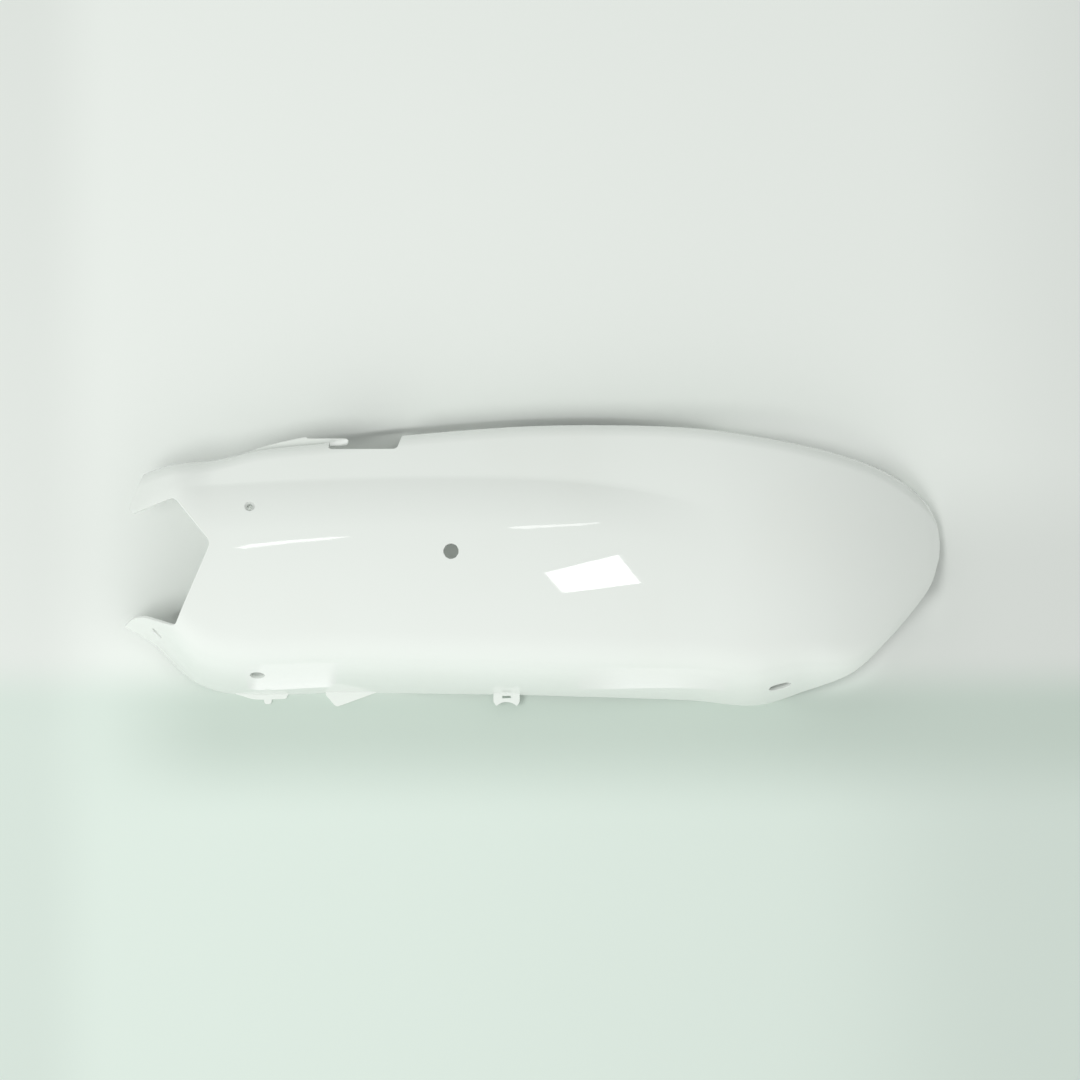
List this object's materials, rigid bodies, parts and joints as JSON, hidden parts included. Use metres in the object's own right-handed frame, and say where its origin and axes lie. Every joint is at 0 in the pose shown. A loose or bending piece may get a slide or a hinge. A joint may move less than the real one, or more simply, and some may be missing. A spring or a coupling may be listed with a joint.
{
  "type": "scooter side panel",
  "caption": "Moulded white side panel with a V front between two horns, a curved tail, a notched seat edge and hidden fixing tabs.",
  "frame": {"origin": "middle of the bounding box, at the floor the panel lies on", "axes": "+X from the nose to the tail, +Y from the lower edge to the seat edge, +Z out of the outer face, which lies upwards"},
  "size_m": [0.68, 0.2349, 0.088],
  "materials": {
    "white_gloss": "smooth white gloss, moulded and lacquered"
  },
  "bodies": {
    "root": {"side_panel": "white_gloss"}
  },
  "joints": []
}
